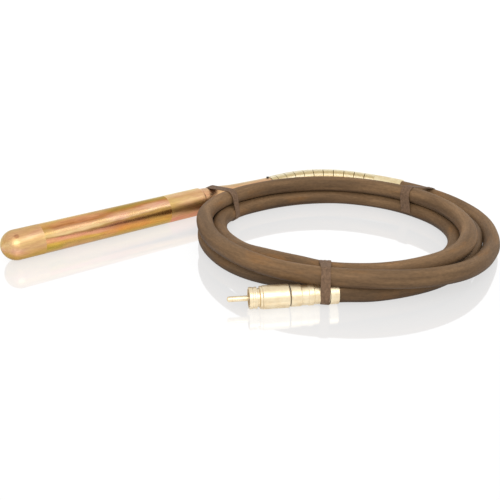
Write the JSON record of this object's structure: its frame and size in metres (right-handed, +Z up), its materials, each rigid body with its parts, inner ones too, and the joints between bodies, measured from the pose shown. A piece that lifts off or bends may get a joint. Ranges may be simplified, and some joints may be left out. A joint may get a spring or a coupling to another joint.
{
  "type": "concrete vibrator",
  "caption": "Poker-type concrete vibrator: steel head with an eccentric rotor on bearings, tapered neck, spring guard, long rubber hose coiled and tied, and drive coupling with pin",
  "frame": {"origin": "on the floor under the middle of the head and its neck", "axes": "X runs along the head's axis from the nose at -X to the neck at +X, Z is up off the floor, and the coiled hose lies on the -Y side"},
  "size_m": [0.7978, 0.5366, 0.0575],
  "materials": {
    "zinc_steel": "yellow zinc plate with an iridescent sheen",
    "copper_zinc_steel": "yellow zinc plate turned coppery",
    "plated_steel": "pale yellow zinc plate",
    "hose_rubber": "dark brown rubber dulled by dust",
    "tie_leather": "dark brown flat strap, worn",
    "seal_rubber": "black nitrile",
    "bearing_steel": "ground and polished",
    "plain_steel": "turned",
    "black_steel": "black oxide",
    "bush_bronze": "turned bronze"
  },
  "bodies": {
    "frame": {"nose_cap": "zinc_steel", "nose_o_ring": "seal_rubber", "head_tube": "zinc_steel", "front_bearing_outer": "bearing_steel", "rear_bearing_outer": "bearing_steel", "front_spacer": "plain_steel", "bearing_circlip": "black_steel", "oil_seal": "seal_rubber", "rear_adapter": "zinc_steel", "adapter_o_ring": "seal_rubber", "neck_tube": "copper_zinc_steel", "neck_o_ring": "seal_rubber", "core_guide_bush": "bush_bronze", "neck_grub_screw": "black_steel", "hose_head_end": "hose_rubber", "spring_guard": "plated_steel", "guard_ferrule": "plated_steel", "hose_lead_in": "hose_rubber", "hose_coil": "hose_rubber", "hose_lead_out": "hose_rubber", "tie_front": "tie_leather", "tie_left": "tie_leather", "tie_right": "tie_leather", "hose_ferrule": "plated_steel", "coupling_tail": "plated_steel", "coupling_sleeve": "plated_steel", "coupling_seal_ring": "seal_rubber", "coupling_body": "plated_steel", "coupling_bearing": "bush_bronze", "coupling_circlip": "black_steel", "coupling_spigot": "plated_steel"},
    "rotor": {"front_bearing_inner": "bearing_steel", "rear_bearing_inner": "bearing_steel", "rotor_shaft": "plain_steel", "eccentric_weight": "plain_steel", "weight_pins": "black_steel", "core_head_end": "plain_steel"},
    "front_balls": {"front_bearing_balls": "bearing_steel"},
    "rear_balls": {"rear_bearing_balls": "bearing_steel"},
    "drive_pin": {"drive_pin": "plated_steel", "core_coupling_end": "plain_steel"}
  },
  "joints": [
    {"name": "rotor_spin", "type": "hinge", "parent": "frame", "child": "rotor", "pos_m": [0, 0, 0.0255], "axis": [1, 0, 0], "continuous": true},
    {"name": "front_balls_roll", "type": "hinge", "parent": "frame", "child": "front_balls", "pos_m": [-0.176, 0, 0.0255], "axis": [1, 0, 0], "continuous": true},
    {"name": "rear_balls_roll", "type": "hinge", "parent": "frame", "child": "rear_balls", "pos_m": [-0.01, 0, 0.0255], "axis": [1, 0, 0], "continuous": true},
    {"name": "drive_pin_spin", "type": "hinge", "parent": "frame", "child": "drive_pin", "pos_m": [-0.05705, -0.35773, 0.017], "axis": [-0.8746, 0.4848, 0], "continuous": true}
  ],
  "couplings": [
    {"joint": "front_balls_roll", "follows": "rotor_spin", "ratio": 0.38},
    {"joint": "rear_balls_roll", "follows": "rotor_spin", "ratio": 0.38},
    {"joint": "drive_pin_spin", "follows": "rotor_spin", "ratio": 1}
  ]
}
